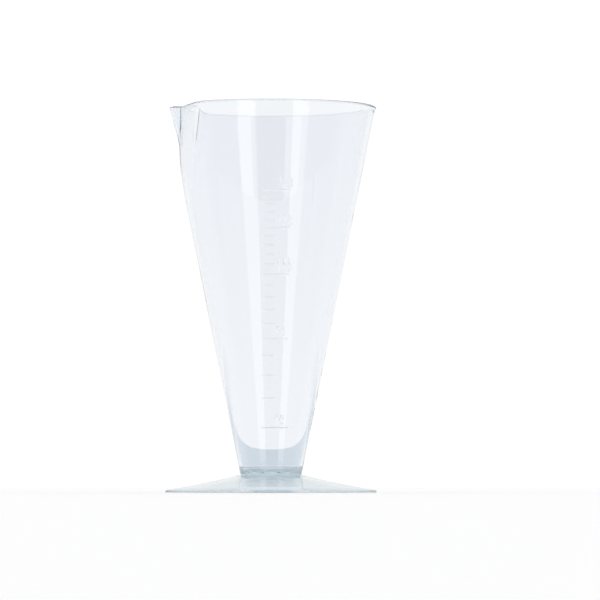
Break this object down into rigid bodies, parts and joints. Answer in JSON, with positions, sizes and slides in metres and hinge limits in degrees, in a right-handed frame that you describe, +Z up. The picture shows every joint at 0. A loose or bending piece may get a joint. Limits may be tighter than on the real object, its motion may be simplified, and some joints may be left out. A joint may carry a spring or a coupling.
{
  "type": "conical measure",
  "caption": "Clear plastic conical measuring cup with a pouring spout and a raised millilitre scale, on a round foot.",
  "frame": {"origin": "centre of the foot's underside, on the surface that the measure stands on", "axes": "+Z up along the cone's axis, -Y towards the scale, -X towards the spout"},
  "size_m": [0.0864, 0.0864, 0.158],
  "materials": {
    "clear_cone": "clear polished moulding",
    "clear_foot": "clear polished moulding"
  },
  "bodies": {
    "root": {"measuring_cone": "clear_cone", "foot": "clear_foot"}
  },
  "joints": []
}
